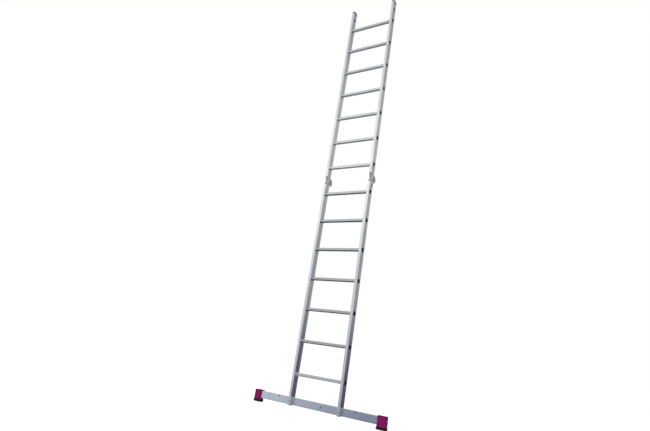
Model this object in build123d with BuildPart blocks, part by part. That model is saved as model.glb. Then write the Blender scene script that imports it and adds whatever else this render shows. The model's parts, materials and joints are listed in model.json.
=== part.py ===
from build123d import *
from math import atan2, cos, degrees, radians, sin
import os

os.makedirs("parts", exist_ok=True)

# Layout of the ladder: +Z runs up the stiles, -Y is the climbing side, the floor is Z = 0.
RUNG_PITCH = 280.0
RUNGS_PER_SECTION = 7
FIRST_RUNG_HEIGHT = 283.0
OUTER_WIDTH = 500.0

# Stile extrusion
STILE_WIDTH = 25.0
STILE_DEPTH = 67.0
STILE_CORNER = 2.5
FACE_WALL = 2.2
SIDE_WALL = 1.8
PANEL_RECESS = 0.8
PANEL_MARGIN = 8.0
TOE_BELOW_BAR = 4.0

# Rung tube
RUNG_SIZE = 27.0
RUNG_CORNER = 4.0
RUNG_WALL = 2.1
TREAD_GROOVES = 5
FACE_GROOVES = 3
GROOVE_WIDTH = 1.4
GROOVE_DEPTH = 0.6
FLANGE_LIP = 2.4
FLANGE_THICKNESS = 1.4
BEAD_LIP = 1.8
BEAD_LENGTH = 2.6
RUNG_FIT = 0.1
MOUTH_FLARE = 2.6
MOUTH_DEPTH = 2.0

# Hinge
PIVOT_BEHIND_STILE = 4.0
CHEEK_RADIUS = 39.0
CHEEK_THICKNESS = 4.0
CHEEK_STEP = 6.0
STILE_END_CLEARANCE = 2.5
STOP_LAND = 12.0
STOP_GAP = 0.2
ARM_CLEARANCE = 0.2
CORNER_PER_CLEARANCE = 2.5
RUNNING_GAP = 0.3
ARM_TO_RUNG = 4.5
PIVOT_RADIUS = 8.0
PIVOT_CLEARANCE = 0.05
PIVOT_HEAD_RADIUS = 13.0
PIVOT_HEAD_THICKNESS = 3.0
PIVOT_HEAD_FILLET = 1.8
PIVOT_SOCKET_RADIUS = 5.8
PIVOT_SOCKET_DEPTH = 7.0
DISC_CHAMFER = 1.0
POCKET_DEPTH = 5.0
POCKET_RIM = 8.0
FOLD_LOCKS = (0.0, 140.0, 180.0)

# Lock pawl, drawn in its released position
NOSE_ANGLE = 25.0
NOSE_CLEARANCE = 0.6
NOSE_HALF_WIDTH = 3.0
NOSE_LENGTH = 6.0
NOTCH_DEPTH = 5.4
NOTCH_HALF_WIDTH = 4.4
PAWL_REACH = 34.0
PAWL_BODY = 11.0
PAWL_HEEL = 8.0
PAWL_BOSS_RADIUS = 8.0
PAWL_SIDE_GAP = 0.4
PAWL_PIN_RADIUS = 3.5
TAB_LENGTH = 18.0
TAB_THICKNESS = 9.0
SPRING_LUG = 12.0
SPRING_LUG_DROP = 6.0
SPRING_RADIUS = 3.8
SPRING_WIRE_RADIUS = 0.7
SPRING_LENGTH = 28.0
SPRING_TURNS = 6
SPRING_POINTS_PER_TURN = 48
SPRING_SEAT_GAP = 0.05
WINDOW_RADIUS = 9.0
WINDOW_RISE = 3.0

# Rivets
RIVET_RADIUS = 4.0
RIVET_HEAD_RADIUS = 6.5
RIVET_HEAD_THICKNESS = 1.8
RIVET_FIT = 0.1
RIVET_SPREAD = 16.0
RIVET_EDGE = 10.0
RIVET_ROW_PITCH = 22.0

# Stabiliser bar
BAR_LENGTH = 1256.0
BAR_HEIGHT = 60.0
BAR_DEPTH = 33.0
BAR_WALL = 2.0
BAR_CORNER = 2.5
BAR_INNER_CORNER = 1.1
BAR_FLOOR_GAP = 33.0
BAR_INSET = 0.5
BAR_HOLE_RADIUS = 5.5
BAR_SIDE_HOLE = 369.0
BAR_SIDE_HOLE_DROP = 10.0
BAR_MID_HOLE = 56.0

# Bolts that hold the bar
BOLT_RADIUS = 4.0
BOLT_FIT = 0.2
BOLT_HEAD_RADIUS = 8.0
BOLT_HEAD_THICKNESS = 4.0
BOLT_SOCKET_RADIUS = 2.5
BOLT_SOCKET_DEPTH = 2.2
SPACER_RADIUS = 7.0
SLEEVE_RADIUS = 6.0
SLEEVE_THREAD_FIT = 0.1
SLEEVE_LENGTH = 20.0
SLEEVE_FLANGE_RADIUS = 9.0
SLEEVE_FLANGE_THICKNESS = 1.8

# End caps and feet of the bar
CAP_LENGTH = 76.0
CAP_WALL = 5.0
CAP_END_WALL = 6.0
CAP_TOP_WALL = 7.0
CAP_CORNER = 6.0
CAP_TOP_FILLET = 3.0
CAP_FIT = 0.2
FOOT_HEIGHT = 20.0
FOOT_LIP = 3.0
FOOT_BOTTOM_FILLET = 8.0
FOOT_GROOVES = 3
FOOT_GROOVE_WIDTH = 3.0
FOOT_GROOVE_DEPTH = 2.5
FOOT_GROOVE_PITCH = 11.0
PEG_LENGTH = 40.0
PEG_DEPTH = 22.0
PEG_HEIGHT = 9.0

# Plugs of the stile tops
PLUG_LIP = 0.4
PLUG_RIM = 22.0
PLUG_NOSE = 18.0
PLUG_EDGE_FILLET = 2.4
PLUG_ALLOWANCE = 18.0
PLUG_REACH = 30.0
PLUG_WALL = 2.5
PLUG_FIT = 0.15

# Holes near the top of the upper stiles
TOP_HOLE_RADIUS = 13.0
TOP_HOLE_DROP = 86.0
TOP_HOLE_OFFSET = 6.0

# Places that follow from the dimensions
STILE_X = (OUTER_WIDTH - STILE_WIDTH) / 2
REAR_Y = (STILE_DEPTH + BOLT_HEAD_THICKNESS - PIVOT_BEHIND_STILE - CHEEK_RADIUS) / 2
FRONT_Y = REAR_Y - STILE_DEPTH
MID_Y = REAR_Y - STILE_DEPTH / 2
PIVOT_Y = REAR_Y + PIVOT_BEHIND_STILE
PIVOT_Z = FIRST_RUNG_HEIGHT + (RUNGS_PER_SECTION - 0.5) * RUNG_PITCH
STILE_END = CHEEK_RADIUS + STILE_END_CLEARANCE
BAR_TOP = BAR_FLOOR_GAP + BAR_HEIGHT
BAR_MID_Z = BAR_FLOOR_GAP + BAR_HEIGHT / 2
BAR_REAR_Y = REAR_Y - BAR_INSET
BAR_FRONT_Y = BAR_REAR_Y - BAR_DEPTH
BAR_MID_Y = BAR_REAR_Y - BAR_DEPTH / 2
LOWER_BOTTOM = BAR_FLOOR_GAP - TOE_BELOW_BAR
LOWER_TOP = PIVOT_Z - STILE_END
UPPER_BOTTOM = PIVOT_Z + STILE_END
UPPER_TOP = UPPER_BOTTOM + LOWER_TOP - LOWER_BOTTOM - PLUG_ALLOWANCE
PANEL_HALF = STILE_WIDTH / 2 - PANEL_RECESS
CAVITY_HALF = PANEL_HALF - SIDE_WALL
CAVITY_CORNER = CORNER_PER_CLEARANCE * ARM_CLEARANCE
ARM_HALF = CAVITY_HALF - ARM_CLEARANCE
CHEEK_INNER = ARM_HALF - CHEEK_THICKNESS
TONGUE_HALF = CHEEK_INNER - RUNNING_GAP
TONGUE_RADIUS = CHEEK_RADIUS - CHEEK_STEP
PAWL_HALF = CHEEK_INNER - PAWL_SIDE_GAP
ARM_FRONT = FRONT_Y + FACE_WALL + ARM_CLEARANCE - PIVOT_Y
ARM_REAR = REAR_Y - FACE_WALL - ARM_CLEARANCE - PIVOT_Y
ARM_MID = (ARM_FRONT + ARM_REAR) / 2
ARM_END = (RUNG_PITCH - RUNG_SIZE) / 2 - ARM_TO_RUNG
HINGE_NOSE = -CHEEK_RADIUS - STOP_LAND
RIVET_ROW_END = ARM_END - RIVET_EDGE
RIVET_ROW_NEAR = RIVET_ROW_END - RIVET_ROW_PITCH
RIVET_POINTS = [
    (ARM_MID + side * RIVET_SPREAD, row)
    for side in (-1, 1)
    for row in (RIVET_ROW_NEAR, RIVET_ROW_END)
]
SIDES = (("left", -1), ("right", 1))

# Nose of the pawl, from the hinge axis, and the pawl's own pin
NOSE_R = TONGUE_RADIUS + NOSE_CLEARANCE
NOSE_U = -NOSE_R * sin(radians(NOSE_ANGLE))
NOSE_W = -NOSE_R * cos(radians(NOSE_ANGLE))
PAWL_U = NOSE_U - PAWL_REACH * cos(radians(NOSE_ANGLE))
PAWL_W = NOSE_W + PAWL_REACH * sin(radians(NOSE_ANGLE))
BODY_OUT = NOSE_LENGTH + PAWL_BODY
LUG_MIDDLE = NOSE_LENGTH + PAWL_BODY / 2
SPRING_U = NOSE_U - LUG_MIDDLE * sin(radians(NOSE_ANGLE))
LUG_W = NOSE_W - LUG_MIDDLE * cos(radians(NOSE_ANGLE))
SPRING_TOP = LUG_W - SPRING_LUG_DROP
BLOCK_TOP = SPRING_TOP - SPRING_LENGTH
WINDOW_W = BLOCK_TOP + WINDOW_RISE


def hinge_plane(x):
    return Plane(origin=(x, PIVOT_Y, PIVOT_Z), x_dir=(0, 1, 0), z_dir=(1, 0, 0))


def pawl_plane(x):
    along = (0, -cos(radians(NOSE_ANGLE)), sin(radians(NOSE_ANGLE)))
    start = (x, PIVOT_Y + NOSE_U, PIVOT_Z + NOSE_W)
    return Plane(origin=start, x_dir=along, z_dir=(1, 0, 0))


def save(node, name):
    node.label = name
    export_step(node, f"parts/{name}.step")


# One extruded stile with its rung openings; the bottom notch, holes and hinge rivets differ per section.
def stile(name, side, bottom, top, first_rung, rivet_way):
    x = side * STILE_X
    with BuildPart() as body:
        with BuildSketch(Plane.XY.offset(bottom)):
            with Locations((x, MID_Y)):
                RectangleRounded(STILE_WIDTH, STILE_DEPTH, STILE_CORNER)
            with Locations((x - STILE_WIDTH / 2, MID_Y), (x + STILE_WIDTH / 2, MID_Y)):
                Rectangle(2 * PANEL_RECESS, STILE_DEPTH - 2 * PANEL_MARGIN, mode=Mode.SUBTRACT)
            with Locations((x, MID_Y)):
                inside = STILE_DEPTH - 2 * FACE_WALL
                RectangleRounded(2 * CAVITY_HALF, inside, CAVITY_CORNER, mode=Mode.SUBTRACT)
        extrude(amount=top - bottom)
        with BuildSketch(Plane.YZ.offset(x)):
            for index in range(RUNGS_PER_SECTION):
                with Locations((MID_Y, first_rung + index * RUNG_PITCH)):
                    opening = RUNG_SIZE + 2 * RUNG_FIT
                    RectangleRounded(opening, opening, RUNG_CORNER + RUNG_FIT)
        extrude(amount=STILE_WIDTH, both=True, mode=Mode.SUBTRACT)
        with BuildSketch(hinge_plane(x)):
            for u, row in RIVET_POINTS:
                with Locations((u, rivet_way * row)):
                    Circle(RIVET_RADIUS + RIVET_FIT)
        extrude(amount=STILE_WIDTH, both=True, mode=Mode.SUBTRACT)
        if rivet_way < 0:
            notch = BAR_TOP - LOWER_BOTTOM
            with BuildSketch(Plane.YZ.offset(x)):
                with Locations((BAR_FRONT_Y, LOWER_BOTTOM)):
                    Rectangle(STILE_DEPTH, notch, align=(Align.MIN, Align.MIN))
            extrude(amount=STILE_WIDTH, both=True, mode=Mode.SUBTRACT)
            with BuildSketch(Plane.XZ.offset(-FRONT_Y)):
                with Locations((x, BAR_MID_Z)):
                    Circle(BOLT_RADIUS + BOLT_FIT)
            extrude(amount=2 * FACE_WALL, both=True, mode=Mode.SUBTRACT)
            with BuildSketch(hinge_plane(x)):
                with Locations((SPRING_U, WINDOW_W)):
                    Circle(WINDOW_RADIUS)
            extrude(amount=side * STILE_WIDTH, mode=Mode.SUBTRACT)
        else:
            with BuildSketch(Plane.YZ.offset(x)):
                with Locations((MID_Y + TOP_HOLE_OFFSET, top - TOP_HOLE_DROP)):
                    Circle(TOP_HOLE_RADIUS)
            extrude(amount=STILE_WIDTH, both=True, mode=Mode.SUBTRACT)
    save(body.part, name)


# One rung: a grooved square tube, swaged on both sides of each stile.
def rung(name, height):
    outer = STILE_X + PANEL_HALF
    inner = STILE_X - PANEL_HALF
    length = 2 * (outer + FLANGE_THICKNESS)
    bore = RUNG_SIZE - 2 * RUNG_WALL
    with BuildPart() as body:
        with BuildSketch(Plane.YZ.offset(-length / 2)):
            with Locations((MID_Y, height)):
                RectangleRounded(RUNG_SIZE, RUNG_SIZE, RUNG_CORNER)
                with Locations((0, RUNG_SIZE / 2), (0, -RUNG_SIZE / 2)):
                    with GridLocations((RUNG_SIZE - 2 * RUNG_CORNER) / TREAD_GROOVES, 1, TREAD_GROOVES, 1):
                        Rectangle(GROOVE_WIDTH, 2 * GROOVE_DEPTH, mode=Mode.SUBTRACT)
                with Locations((RUNG_SIZE / 2, 0), (-RUNG_SIZE / 2, 0)):
                    with GridLocations(1, (RUNG_SIZE - 2 * RUNG_CORNER) / FACE_GROOVES, 1, FACE_GROOVES):
                        Rectangle(2 * GROOVE_DEPTH, GROOVE_WIDTH, mode=Mode.SUBTRACT)
        extrude(amount=length)
        lip = RUNG_SIZE + 2 * FLANGE_LIP
        bead = RUNG_SIZE + 2 * BEAD_LIP
        for side in (-1, 1):
            with BuildSketch(Plane.YZ.offset(side * outer)):
                with Locations((MID_Y, height)):
                    RectangleRounded(lip, lip, RUNG_CORNER + FLANGE_LIP)
            extrude(amount=side * FLANGE_THICKNESS)
            with BuildSketch(Plane.YZ.offset(side * inner)):
                with Locations((MID_Y, height)):
                    RectangleRounded(bead, bead, RUNG_CORNER + BEAD_LIP)
            extrude(amount=-side * BEAD_LENGTH)
        with BuildSketch(Plane.YZ.offset(-length / 2)):
            with Locations((MID_Y, height)):
                RectangleRounded(bore, bore, RUNG_CORNER - RUNG_WALL)
        extrude(amount=length, mode=Mode.SUBTRACT)
        mouth = bore + 2 * MOUTH_FLARE
        slope = degrees(atan2(MOUTH_FLARE, MOUTH_DEPTH))
        for side in (-1, 1):
            with BuildSketch(Plane.YZ.offset(side * length / 2)):
                with Locations((MID_Y, height)):
                    RectangleRounded(mouth, mouth, RUNG_CORNER - RUNG_WALL + MOUTH_FLARE)
            extrude(amount=-side * MOUTH_DEPTH, taper=slope, mode=Mode.SUBTRACT)
    save(body.part, name)


for side_name, side in SIDES:
    stile(f"lower_{side_name}_stile", side, LOWER_BOTTOM, LOWER_TOP, FIRST_RUNG_HEIGHT, -1)
upper_first = FIRST_RUNG_HEIGHT + RUNGS_PER_SECTION * RUNG_PITCH
for side_name, side in SIDES:
    stile(f"upper_{side_name}_stile", side, UPPER_BOTTOM, UPPER_TOP, upper_first, 1)
for index in range(RUNGS_PER_SECTION):
    rung(f"lower_rung_{index + 1}", FIRST_RUNG_HEIGHT + index * RUNG_PITCH)
    rung(f"upper_rung_{index + 1}", upper_first + index * RUNG_PITCH)

# Plugs in the tops of the upper stiles
for side_name, side in SIDES:
    with BuildPart() as plug:
        wide = STILE_WIDTH + 2 * PLUG_LIP
        with BuildSketch(Plane.YZ.offset(side * STILE_X - wide / 2)) as profile:
            with Locations((MID_Y, UPPER_TOP)):
                Rectangle(STILE_DEPTH + 2 * PLUG_LIP, PLUG_RIM, align=(Align.CENTER, Align.MIN))
            fillet(profile.vertices().group_by(Axis.Y)[-1], radius=PLUG_NOSE)
        extrude(amount=wide)
        rounded = plug.faces().filter_by(Axis.X).edges() - plug.edges().group_by(Axis.Z)[0]
        fillet(rounded, radius=PLUG_EDGE_FILLET)
        with BuildSketch(Plane.XY.offset(UPPER_TOP)):
            with Locations((side * STILE_X, MID_Y)):
                wide = 2 * (CAVITY_HALF - PLUG_FIT)
                deep = STILE_DEPTH - 2 * (FACE_WALL + PLUG_FIT)
                RectangleRounded(wide, deep, CAVITY_CORNER)
                wall = 2 * PLUG_WALL
                RectangleRounded(wide - wall, deep - wall, CAVITY_CORNER, mode=Mode.SUBTRACT)
        extrude(amount=-PLUG_REACH)
    save(plug.part, f"{side_name}_top_plug")

# Stabiliser bar
with BuildPart() as base_bar:
    with BuildSketch(Plane.YZ.offset(-BAR_LENGTH / 2)):
        with Locations((BAR_MID_Y, BAR_MID_Z)):
            RectangleRounded(BAR_DEPTH, BAR_HEIGHT, BAR_CORNER)
            deep = BAR_DEPTH - 2 * BAR_WALL
            tall = BAR_HEIGHT - 2 * BAR_WALL
            RectangleRounded(deep, tall, BAR_INNER_CORNER, mode=Mode.SUBTRACT)
    extrude(amount=BAR_LENGTH)
    with BuildSketch(Plane.XZ.offset(-BAR_FRONT_Y)):
        with Locations((-STILE_X, BAR_MID_Z), (STILE_X, BAR_MID_Z)):
            Circle(BOLT_RADIUS + BOLT_FIT)
        with Locations((-BAR_SIDE_HOLE, BAR_TOP - BAR_SIDE_HOLE_DROP)):
            Circle(BAR_HOLE_RADIUS)
        with Locations((BAR_SIDE_HOLE, BAR_TOP - BAR_SIDE_HOLE_DROP)):
            Circle(BAR_HOLE_RADIUS)
        with Locations((BAR_MID_HOLE, BAR_MID_Z)):
            Circle(BAR_HOLE_RADIUS)
    extrude(amount=2 * BAR_WALL, both=True, mode=Mode.SUBTRACT)
    with BuildSketch(Plane.XZ.offset(-BAR_REAR_Y)):
        with Locations((-STILE_X, BAR_MID_Z), (STILE_X, BAR_MID_Z)):
            Circle(SLEEVE_RADIUS + BOLT_FIT)
    extrude(amount=2 * BAR_WALL, both=True, mode=Mode.SUBTRACT)
save(base_bar.part, "base_bar")

# Bolts, spacer tubes and sleeve nuts that hold the bar, a group of two solids each
with BuildPart() as bolts:
    for _, side in SIDES:
        with BuildSketch(Plane.XZ.offset(-FRONT_Y)):
            with Locations((side * STILE_X, BAR_MID_Z)):
                Circle(BOLT_RADIUS)
        extrude(amount=-(BAR_REAR_Y - BAR_WALL - FRONT_Y))
        with BuildSketch(Plane.XZ.offset(-FRONT_Y)):
            with Locations((side * STILE_X, BAR_MID_Z)):
                Circle(BOLT_HEAD_RADIUS)
        extrude(amount=BOLT_HEAD_THICKNESS)
    front_edges = bolts.edges().filter_by(GeomType.CIRCLE).group_by(Axis.Y)[0]
    fillet(front_edges, radius=BOLT_HEAD_THICKNESS / 2)
    with BuildSketch(Plane.XZ.offset(-FRONT_Y + BOLT_HEAD_THICKNESS)):
        with Locations((-STILE_X, BAR_MID_Z), (STILE_X, BAR_MID_Z)):
            RegularPolygon(BOLT_SOCKET_RADIUS, 6)
    extrude(amount=-BOLT_SOCKET_DEPTH, mode=Mode.SUBTRACT)
save(bolts.part, "bar_bolts")

with BuildPart() as spacers:
    with BuildSketch(Plane.XZ.offset(-FRONT_Y - FACE_WALL)):
        with Locations((-STILE_X, BAR_MID_Z), (STILE_X, BAR_MID_Z)):
            Circle(SPACER_RADIUS)
            Circle(BOLT_RADIUS + BOLT_FIT, mode=Mode.SUBTRACT)
    extrude(amount=-(BAR_FRONT_Y - FRONT_Y - FACE_WALL))
save(spacers.part, "bar_bolt_spacers")

with BuildPart() as sleeves:
    with BuildSketch(Plane.XZ.offset(-BAR_REAR_Y)):
        with Locations((-STILE_X, BAR_MID_Z), (STILE_X, BAR_MID_Z)):
            Circle(SLEEVE_FLANGE_RADIUS)
    extrude(amount=-SLEEVE_FLANGE_THICKNESS)
    with BuildSketch(Plane.XZ.offset(-BAR_REAR_Y)):
        with Locations((-STILE_X, BAR_MID_Z), (STILE_X, BAR_MID_Z)):
            Circle(SLEEVE_RADIUS)
    extrude(amount=SLEEVE_LENGTH)
    with BuildSketch(Plane.XZ.offset(-BAR_REAR_Y + BAR_WALL / 2)):
        with Locations((-STILE_X, BAR_MID_Z), (STILE_X, BAR_MID_Z)):
            Circle(BOLT_RADIUS + SLEEVE_THREAD_FIT)
    extrude(amount=SLEEVE_LENGTH, mode=Mode.SUBTRACT)
save(sleeves.part, "bar_sleeve_nuts")

# End caps of the bar and the rubber feet under them
CAP_OUT = BAR_LENGTH / 2 + CAP_FIT + CAP_END_WALL
CAP_X = CAP_OUT - CAP_LENGTH / 2
CAP_DEPTH = BAR_DEPTH + 2 * CAP_WALL
FOOT_CORNER = CAP_CORNER + FOOT_LIP
for side_name, side in SIDES:
    with BuildPart() as cap:
        with BuildSketch(Plane.XY.offset(FOOT_HEIGHT)):
            with Locations((side * CAP_X, BAR_MID_Y)):
                RectangleRounded(CAP_LENGTH, CAP_DEPTH, CAP_CORNER)
        extrude(amount=BAR_TOP + CAP_TOP_WALL - FOOT_HEIGHT)
        fillet(cap.edges().group_by(Axis.Z)[-1], radius=CAP_TOP_FILLET)
        with BuildSketch(Plane.YZ.offset(side * (CAP_OUT - CAP_END_WALL))):
            with Locations((BAR_MID_Y, BAR_MID_Z)):
                deep = BAR_DEPTH + 2 * CAP_FIT
                tall = BAR_HEIGHT + 2 * CAP_FIT
                RectangleRounded(deep, tall, BAR_CORNER)
        extrude(amount=-side * CAP_LENGTH, mode=Mode.SUBTRACT)
        with BuildSketch(Plane.XY.offset(FOOT_HEIGHT)):
            with Locations((side * CAP_X, BAR_MID_Y)):
                Rectangle(PEG_LENGTH + 2 * CAP_FIT, PEG_DEPTH + 2 * CAP_FIT)
        extrude(amount=PEG_HEIGHT + CAP_FIT, mode=Mode.SUBTRACT)
    save(cap.part, f"{side_name}_bar_cap")

    with BuildPart() as foot:
        with BuildSketch(Plane.XY):
            with Locations((side * CAP_X, BAR_MID_Y)):
                RectangleRounded(CAP_LENGTH + 2 * FOOT_LIP, CAP_DEPTH + 2 * FOOT_LIP, FOOT_CORNER)
        extrude(amount=FOOT_HEIGHT)
        fillet(foot.edges().group_by(Axis.Z)[0], radius=FOOT_BOTTOM_FILLET)
        fillet(foot.edges().group_by(Axis.Z)[-1], radius=FOOT_LIP / 2)
        with BuildSketch(Plane.XY):
            with Locations((side * CAP_X, BAR_MID_Y)):
                with GridLocations(1, FOOT_GROOVE_PITCH, 1, FOOT_GROOVES):
                    Rectangle(CAP_LENGTH + 4 * FOOT_LIP, FOOT_GROOVE_WIDTH)
        extrude(amount=FOOT_GROOVE_DEPTH, mode=Mode.SUBTRACT)
        with BuildSketch(Plane.XY.offset(FOOT_HEIGHT)):
            with Locations((side * CAP_X, BAR_MID_Y)):
                Rectangle(PEG_LENGTH, PEG_DEPTH)
        extrude(amount=PEG_HEIGHT)
    save(foot.part, f"{side_name}_foot")

# Hinges
for side_name, side in SIDES:
    x = side * STILE_X

    # Cheek plates of the lower section; the outboard one has the spring window
    for place, way in (("outer", side), ("inner", -side)):
        with BuildPart() as cheek:
            with BuildSketch(hinge_plane(x + way * CHEEK_INNER)):
                Circle(CHEEK_RADIUS)
                with BuildLine():
                    Polyline(
                        (ARM_FRONT, -ARM_END),
                        (ARM_REAR, -ARM_END),
                        (ARM_REAR, 0),
                        (HINGE_NOSE, 0),
                        (ARM_FRONT, -STILE_END),
                        close=True,
                    )
                make_face()
            extrude(amount=way * CHEEK_THICKNESS)
            with BuildSketch(hinge_plane(x + way * ARM_HALF)):
                Circle(CHEEK_RADIUS)
            extrude(amount=way * (STILE_WIDTH / 2 - ARM_HALF))
            rims = cheek.edges().filter_by(GeomType.CIRCLE).group_by(Axis.X)
            chamfer(rims[-1 if way > 0 else 0], length=DISC_CHAMFER)
            with BuildSketch(hinge_plane(x)):
                Circle(PIVOT_RADIUS + PIVOT_CLEARANCE)
                with Locations((PAWL_U, PAWL_W)):
                    Circle(PAWL_PIN_RADIUS + PIVOT_CLEARANCE)
                for u, row in RIVET_POINTS:
                    with Locations((u, -row)):
                        Circle(RIVET_RADIUS + RIVET_FIT)
                if place == "outer":
                    with Locations((SPRING_U, WINDOW_W)):
                        Circle(WINDOW_RADIUS)
            extrude(amount=way * STILE_WIDTH, mode=Mode.SUBTRACT)
        save(cheek.part, f"{side_name}_hinge_{place}_cheek")

    # Spacer block between the cheeks, which also seats the spring
    with BuildPart() as block:
        with BuildSketch(hinge_plane(x)):
            with BuildLine():
                Polyline(
                    (ARM_FRONT, -ARM_END),
                    (ARM_REAR, -ARM_END),
                    (ARM_REAR, BLOCK_TOP),
                    (ARM_FRONT, BLOCK_TOP),
                    close=True,
                )
            make_face()
            for u, row in RIVET_POINTS:
                with Locations((u, -row)):
                    Circle(RIVET_RADIUS + RIVET_FIT, mode=Mode.SUBTRACT)
        extrude(amount=CHEEK_INNER, both=True)
    save(block.part, f"{side_name}_hinge_block")

    # Tongue of the upper section: a notched disc between the cheeks and a full-width shank
    with BuildPart() as tongue:
        arm = [
            (HINGE_NOSE, STOP_GAP),
            (ARM_REAR, STOP_GAP),
            (ARM_REAR, ARM_END),
            (ARM_FRONT, ARM_END),
            (ARM_FRONT, STILE_END),
        ]
        with BuildSketch(hinge_plane(x)):
            Circle(TONGUE_RADIUS)
            for fold in FOLD_LOCKS:
                with PolarLocations(TONGUE_RADIUS, 1, start_angle=270 - NOSE_ANGLE + fold):
                    Rectangle(2 * NOTCH_DEPTH, 2 * NOTCH_HALF_WIDTH, mode=Mode.SUBTRACT)
            with BuildLine():
                Polyline(*arm, close=True)
            make_face()
        extrude(amount=TONGUE_HALF, both=True)
        with BuildSketch(hinge_plane(x)):
            with BuildLine():
                Polyline(*arm, close=True)
            make_face()
            Circle(CHEEK_RADIUS + RUNNING_GAP, mode=Mode.SUBTRACT)
        extrude(amount=ARM_HALF, both=True)
        pocket_low = STILE_END + POCKET_RIM
        pocket_high = RIVET_ROW_NEAR - POCKET_RIM
        for way in (-1, 1):
            with BuildSketch(hinge_plane(x + way * ARM_HALF)):
                with Locations((ARM_MID, (pocket_low + pocket_high) / 2)):
                    wide = ARM_REAR - ARM_FRONT - 2 * POCKET_RIM
                    Rectangle(wide, pocket_high - pocket_low)
            extrude(amount=-way * POCKET_DEPTH, mode=Mode.SUBTRACT)
        with BuildSketch(hinge_plane(x)):
            Circle(PIVOT_RADIUS + PIVOT_CLEARANCE)
            for u, row in RIVET_POINTS:
                with Locations((u, row)):
                    Circle(RIVET_RADIUS + RIVET_FIT)
        extrude(amount=STILE_WIDTH, both=True, mode=Mode.SUBTRACT)
    save(tongue.part, f"{side_name}_hinge_tongue")

    # Pivot pin with a domed head on each cheek and a hexagon socket in the inner one
    with BuildPart() as pin:
        with BuildSketch(hinge_plane(x)):
            Circle(PIVOT_RADIUS)
        extrude(amount=STILE_WIDTH / 2, both=True)
        for way in (-1, 1):
            with BuildSketch(hinge_plane(x + way * STILE_WIDTH / 2)):
                Circle(PIVOT_HEAD_RADIUS)
            extrude(amount=way * PIVOT_HEAD_THICKNESS)
        heads = pin.edges().filter_by(GeomType.CIRCLE).group_by(Axis.X)
        fillet(heads[0] + heads[-1], radius=PIVOT_HEAD_FILLET)
        inboard = x - side * (STILE_WIDTH / 2 + PIVOT_HEAD_THICKNESS)
        with BuildSketch(hinge_plane(inboard)):
            RegularPolygon(PIVOT_SOCKET_RADIUS, 6)
        extrude(amount=side * PIVOT_SOCKET_DEPTH, mode=Mode.SUBTRACT)
    save(pin.part, f"{side_name}_hinge_pin")

    # Lock pawl with its release tab at the front of the hinge
    with BuildPart() as pawl:
        with BuildSketch(pawl_plane(x)):
            with BuildLine():
                Polyline(
                    (-NOSE_HALF_WIDTH, 0),
                    (NOSE_HALF_WIDTH, 0),
                    (NOSE_HALF_WIDTH, NOSE_LENGTH),
                    (PAWL_REACH - PAWL_BOSS_RADIUS, 0),
                    (PAWL_REACH, PAWL_BOSS_RADIUS),
                    (NOSE_HALF_WIDTH, BODY_OUT),
                    (-PAWL_HEEL, BODY_OUT),
                    (-PAWL_HEEL, NOSE_LENGTH),
                    (-NOSE_HALF_WIDTH, NOSE_LENGTH),
                    close=True,
                )
            make_face()
            with Locations((PAWL_REACH, 0)):
                Circle(PAWL_BOSS_RADIUS)
        extrude(amount=PAWL_HALF, both=True)
        with BuildSketch(hinge_plane(x)):
            with Locations((SPRING_U, SPRING_TOP)):
                Rectangle(SPRING_LUG, SPRING_LUG_DROP, align=(Align.CENTER, Align.MIN))
            with Locations((PAWL_U - TAB_LENGTH, PAWL_W)):
                Rectangle(TAB_LENGTH, TAB_THICKNESS, align=(Align.MIN, Align.CENTER))
        extrude(amount=PAWL_HALF, both=True)
        with BuildSketch(hinge_plane(x)):
            with Locations((PAWL_U, PAWL_W)):
                Circle(PAWL_PIN_RADIUS + PIVOT_CLEARANCE)
        extrude(amount=STILE_WIDTH, both=True, mode=Mode.SUBTRACT)
    save(pawl.part, f"{side_name}_lock_pawl")

    with BuildPart() as pawl_pin:
        with BuildSketch(hinge_plane(x)):
            with Locations((PAWL_U, PAWL_W)):
                Circle(PAWL_PIN_RADIUS)
        extrude(amount=ARM_HALF, both=True)
    save(pawl_pin.part, f"{side_name}_lock_pin")

    # Compression spring from the block up to the pawl
    with BuildPart() as spring:
        coil_length = SPRING_LENGTH - 2 * (SPRING_WIRE_RADIUS + SPRING_SEAT_GAP)
        base = PIVOT_Z + BLOCK_TOP + SPRING_WIRE_RADIUS + SPRING_SEAT_GAP
        with BuildLine() as coil:
            Helix(
                pitch=coil_length / SPRING_TURNS,
                height=coil_length,
                radius=SPRING_RADIUS,
                center=(x, PIVOT_Y + SPRING_U, base),
            )
        with BuildSketch(Plane(origin=coil.line @ 0, z_dir=coil.line % 0)):
            Circle(SPRING_WIRE_RADIUS)
        sweep(path=coil.line, is_frenet=True)
    save(spring.part, f"{side_name}_lock_spring")

# Least gap between the turns of a spring, measured on points along its wire
steps = SPRING_TURNS * SPRING_POINTS_PER_TURN
wire = [coil.line @ (step / steps) for step in range(steps + 1)]
half_turn = SPRING_POINTS_PER_TURN // 2
nearest = min(
    (wire[far] - wire[near]).length
    for near in range(steps - half_turn + 1)
    for far in range(near + half_turn, steps + 1)
)
print("least gap between spring turns", round(nearest - 2 * SPRING_WIRE_RADIUS, 3))

# Rivets of both hinges, a group of separate solids per section
for section, way in (("lower", -1), ("upper", 1)):
    with BuildPart() as rivets:
        for _, side in SIDES:
            with BuildSketch(hinge_plane(side * STILE_X)):
                for u, row in RIVET_POINTS:
                    with Locations((u, way * row)):
                        Circle(RIVET_RADIUS)
            extrude(amount=PANEL_HALF, both=True)
            for end in (-1, 1):
                with BuildSketch(hinge_plane(side * STILE_X + end * PANEL_HALF)):
                    for u, row in RIVET_POINTS:
                        with Locations((u, way * row)):
                            Circle(RIVET_HEAD_RADIUS)
                extrude(amount=end * RIVET_HEAD_THICKNESS)
    save(rivets.part, f"{section}_hinge_rivets")
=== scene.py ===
import json
import math

import bpy
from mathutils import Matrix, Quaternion, Vector


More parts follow.
